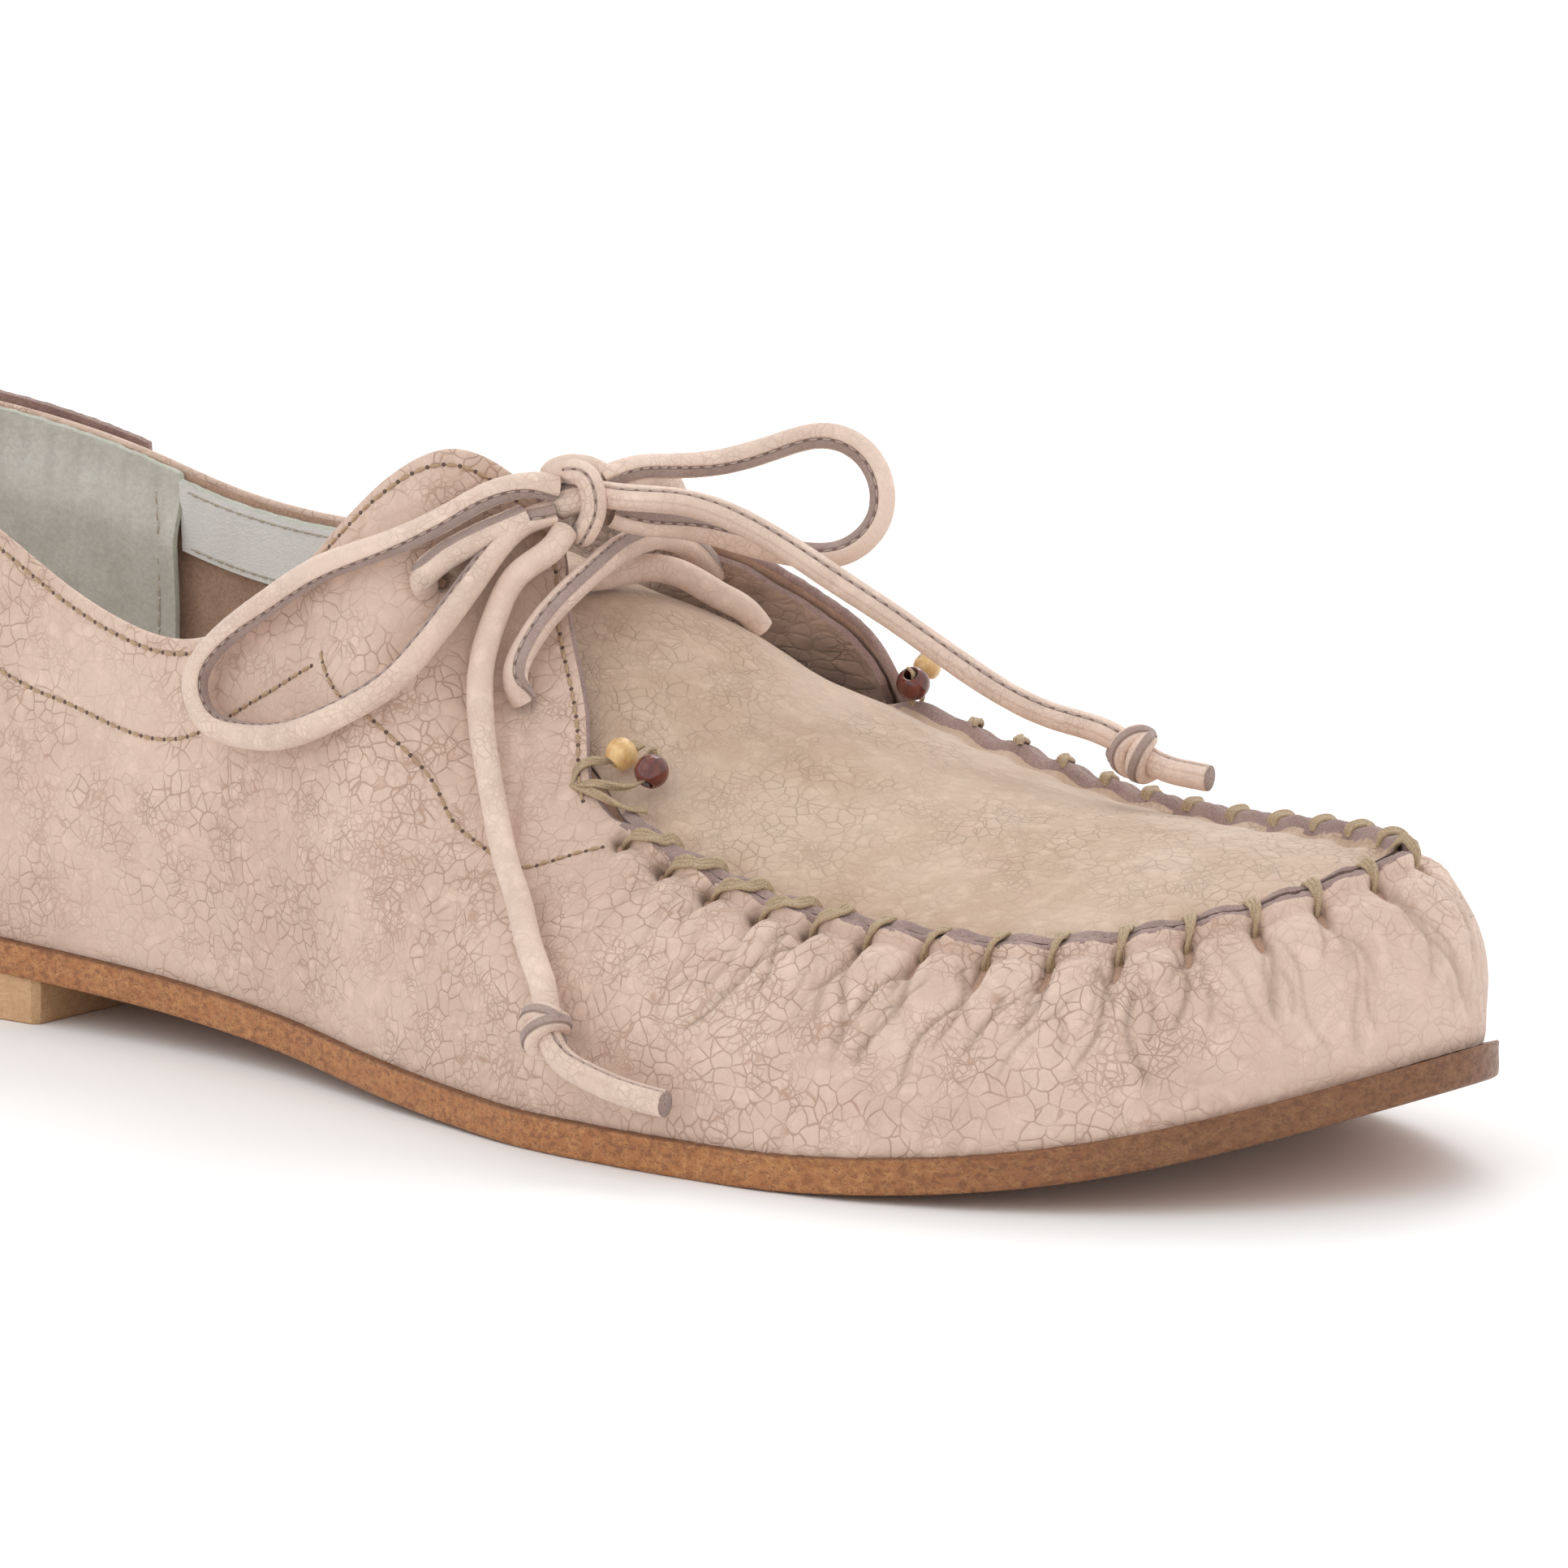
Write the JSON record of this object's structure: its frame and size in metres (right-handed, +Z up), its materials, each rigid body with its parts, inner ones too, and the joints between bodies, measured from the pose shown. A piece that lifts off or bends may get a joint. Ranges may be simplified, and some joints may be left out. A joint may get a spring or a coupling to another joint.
{
  "type": "moccasin shoe",
  "caption": "Lace-up leather moccasin for the right foot: hand-sewn gathered apron, low collar, tied bow with knotted tails, beaded seam ends, thin leather sole and low heel.",
  "frame": {"origin": "middle of the shoe's footprint on the ground", "axes": "+X from heel to toe, +Y to the inner (medial) side of the right foot, +Z up"},
  "size_m": [0.2586, 0.0947, 0.0806],
  "materials": {
    "nubuck": "matte nubuck with a pebbled grain",
    "lace_leather": "matte rolled leather",
    "mauve_suede": "suede",
    "grey_suede": "suede",
    "cream_leather": "smooth",
    "sole_leather": "burnished",
    "heel_leather": "waxed",
    "board": "matte leatherboard",
    "cork": "matte",
    "steel": "brushed",
    "waxed_thread": "waxed",
    "tan_bead": "polished",
    "dark_bead": "polished"
  },
  "bodies": {
    "shoe": {"outsole": "sole_leather", "heel_block": "heel_leather", "insole_board": "board", "sock_liner": "grey_suede", "bottom_filler": "cork", "shank": "steel", "upper_body": "nubuck", "apron": "nubuck", "toe_puff": "board", "heel_counter": "board", "heel_lining": "grey_suede", "collar_lining_lateral": "cream_leather", "collar_lining_medial": "cream_leather", "facing_lining_lateral": "nubuck", "facing_lining_medial": "nubuck", "heel_tab": "mauve_suede", "apron_thread": "waxed_thread", "bead_tie_lateral_tan": "waxed_thread", "bead_tie_medial_tan": "waxed_thread", "bead_tie_lateral_dark": "waxed_thread", "bead_tie_medial_dark": "waxed_thread", "bow_knot": "lace_leather", "lace_crossing_front": "lace_leather", "lace_crossing_back": "lace_leather", "lace_riser_lateral": "lace_leather", "lace_riser_medial": "lace_leather", "heel_nail_1": "steel", "heel_nail_2": "steel", "heel_nail_3": "steel", "heel_nail_4": "steel", "heel_nail_5": "steel"},
    "bow_loop_lateral": {"bow_loop_lateral": "lace_leather"},
    "bow_loop_medial": {"bow_loop_medial": "lace_leather"},
    "lace_tail_lateral": {"lace_tail_lateral": "lace_leather", "tail_knot_lateral": "lace_leather", "lace_end_lateral": "lace_leather"},
    "lace_tail_medial": {"lace_tail_medial": "lace_leather", "tail_knot_medial": "lace_leather", "lace_end_medial": "lace_leather"},
    "bead_lateral_tan": {"bead_lateral_tan": "tan_bead"},
    "bead_lateral_dark": {"bead_lateral_dark": "dark_bead"},
    "bead_medial_dark": {"bead_medial_dark": "dark_bead"},
    "bead_medial_tan": {"bead_medial_tan": "tan_bead"}
  },
  "joints": [
    {"name": "lateral_loop_lift", "type": "hinge", "parent": "shoe", "child": "bow_loop_lateral", "pos_m": [0.00464, -0.00451, 0.0726], "axis": [-0.2495, 0.4291, 0.8681], "range_deg": [0, 80]},
    {"name": "medial_loop_lift", "type": "hinge", "parent": "shoe", "child": "bow_loop_medial", "pos_m": [0.00464, -0.00451, 0.0726], "axis": [0.4306, -0.751, 0.5007], "range_deg": [0, 70]},
    {"name": "lateral_tail_swing", "type": "hinge", "parent": "shoe", "child": "lace_tail_lateral", "pos_m": [0.00464, -0.00451, 0.0726], "axis": [-0.1801, -0.6804, -0.7104], "range_deg": [0, 70]},
    {"name": "medial_tail_lift", "type": "hinge", "parent": "shoe", "child": "lace_tail_medial", "pos_m": [0.00954, -0.00361, 0.0736], "axis": [0.867, -0.4983, 0], "range_deg": [0, 70]},
    {"name": "bead_lateral_tan_spin", "type": "hinge", "parent": "shoe", "child": "bead_lateral_tan", "pos_m": [0.02054, -0.01641, 0.0442], "axis": [0.3709, 0.6715, 0.6415], "continuous": true},
    {"name": "bead_lateral_dark_spin", "type": "hinge", "parent": "shoe", "child": "bead_lateral_dark", "pos_m": [0.02614, -0.01761, 0.0428], "axis": [0, 0.6174, 0.7867], "continuous": true},
    {"name": "bead_medial_dark_spin", "type": "hinge", "parent": "shoe", "child": "bead_medial_dark", "pos_m": [0.02934, 0.03179, 0.0474], "axis": [0.2199, -0.5996, 0.7695], "continuous": true},
    {"name": "bead_medial_tan_spin", "type": "hinge", "parent": "shoe", "child": "bead_medial_tan", "pos_m": [0.02824, 0.03619, 0.0488], "axis": [0, 0.2589, 0.9659], "continuous": true}
  ]
}
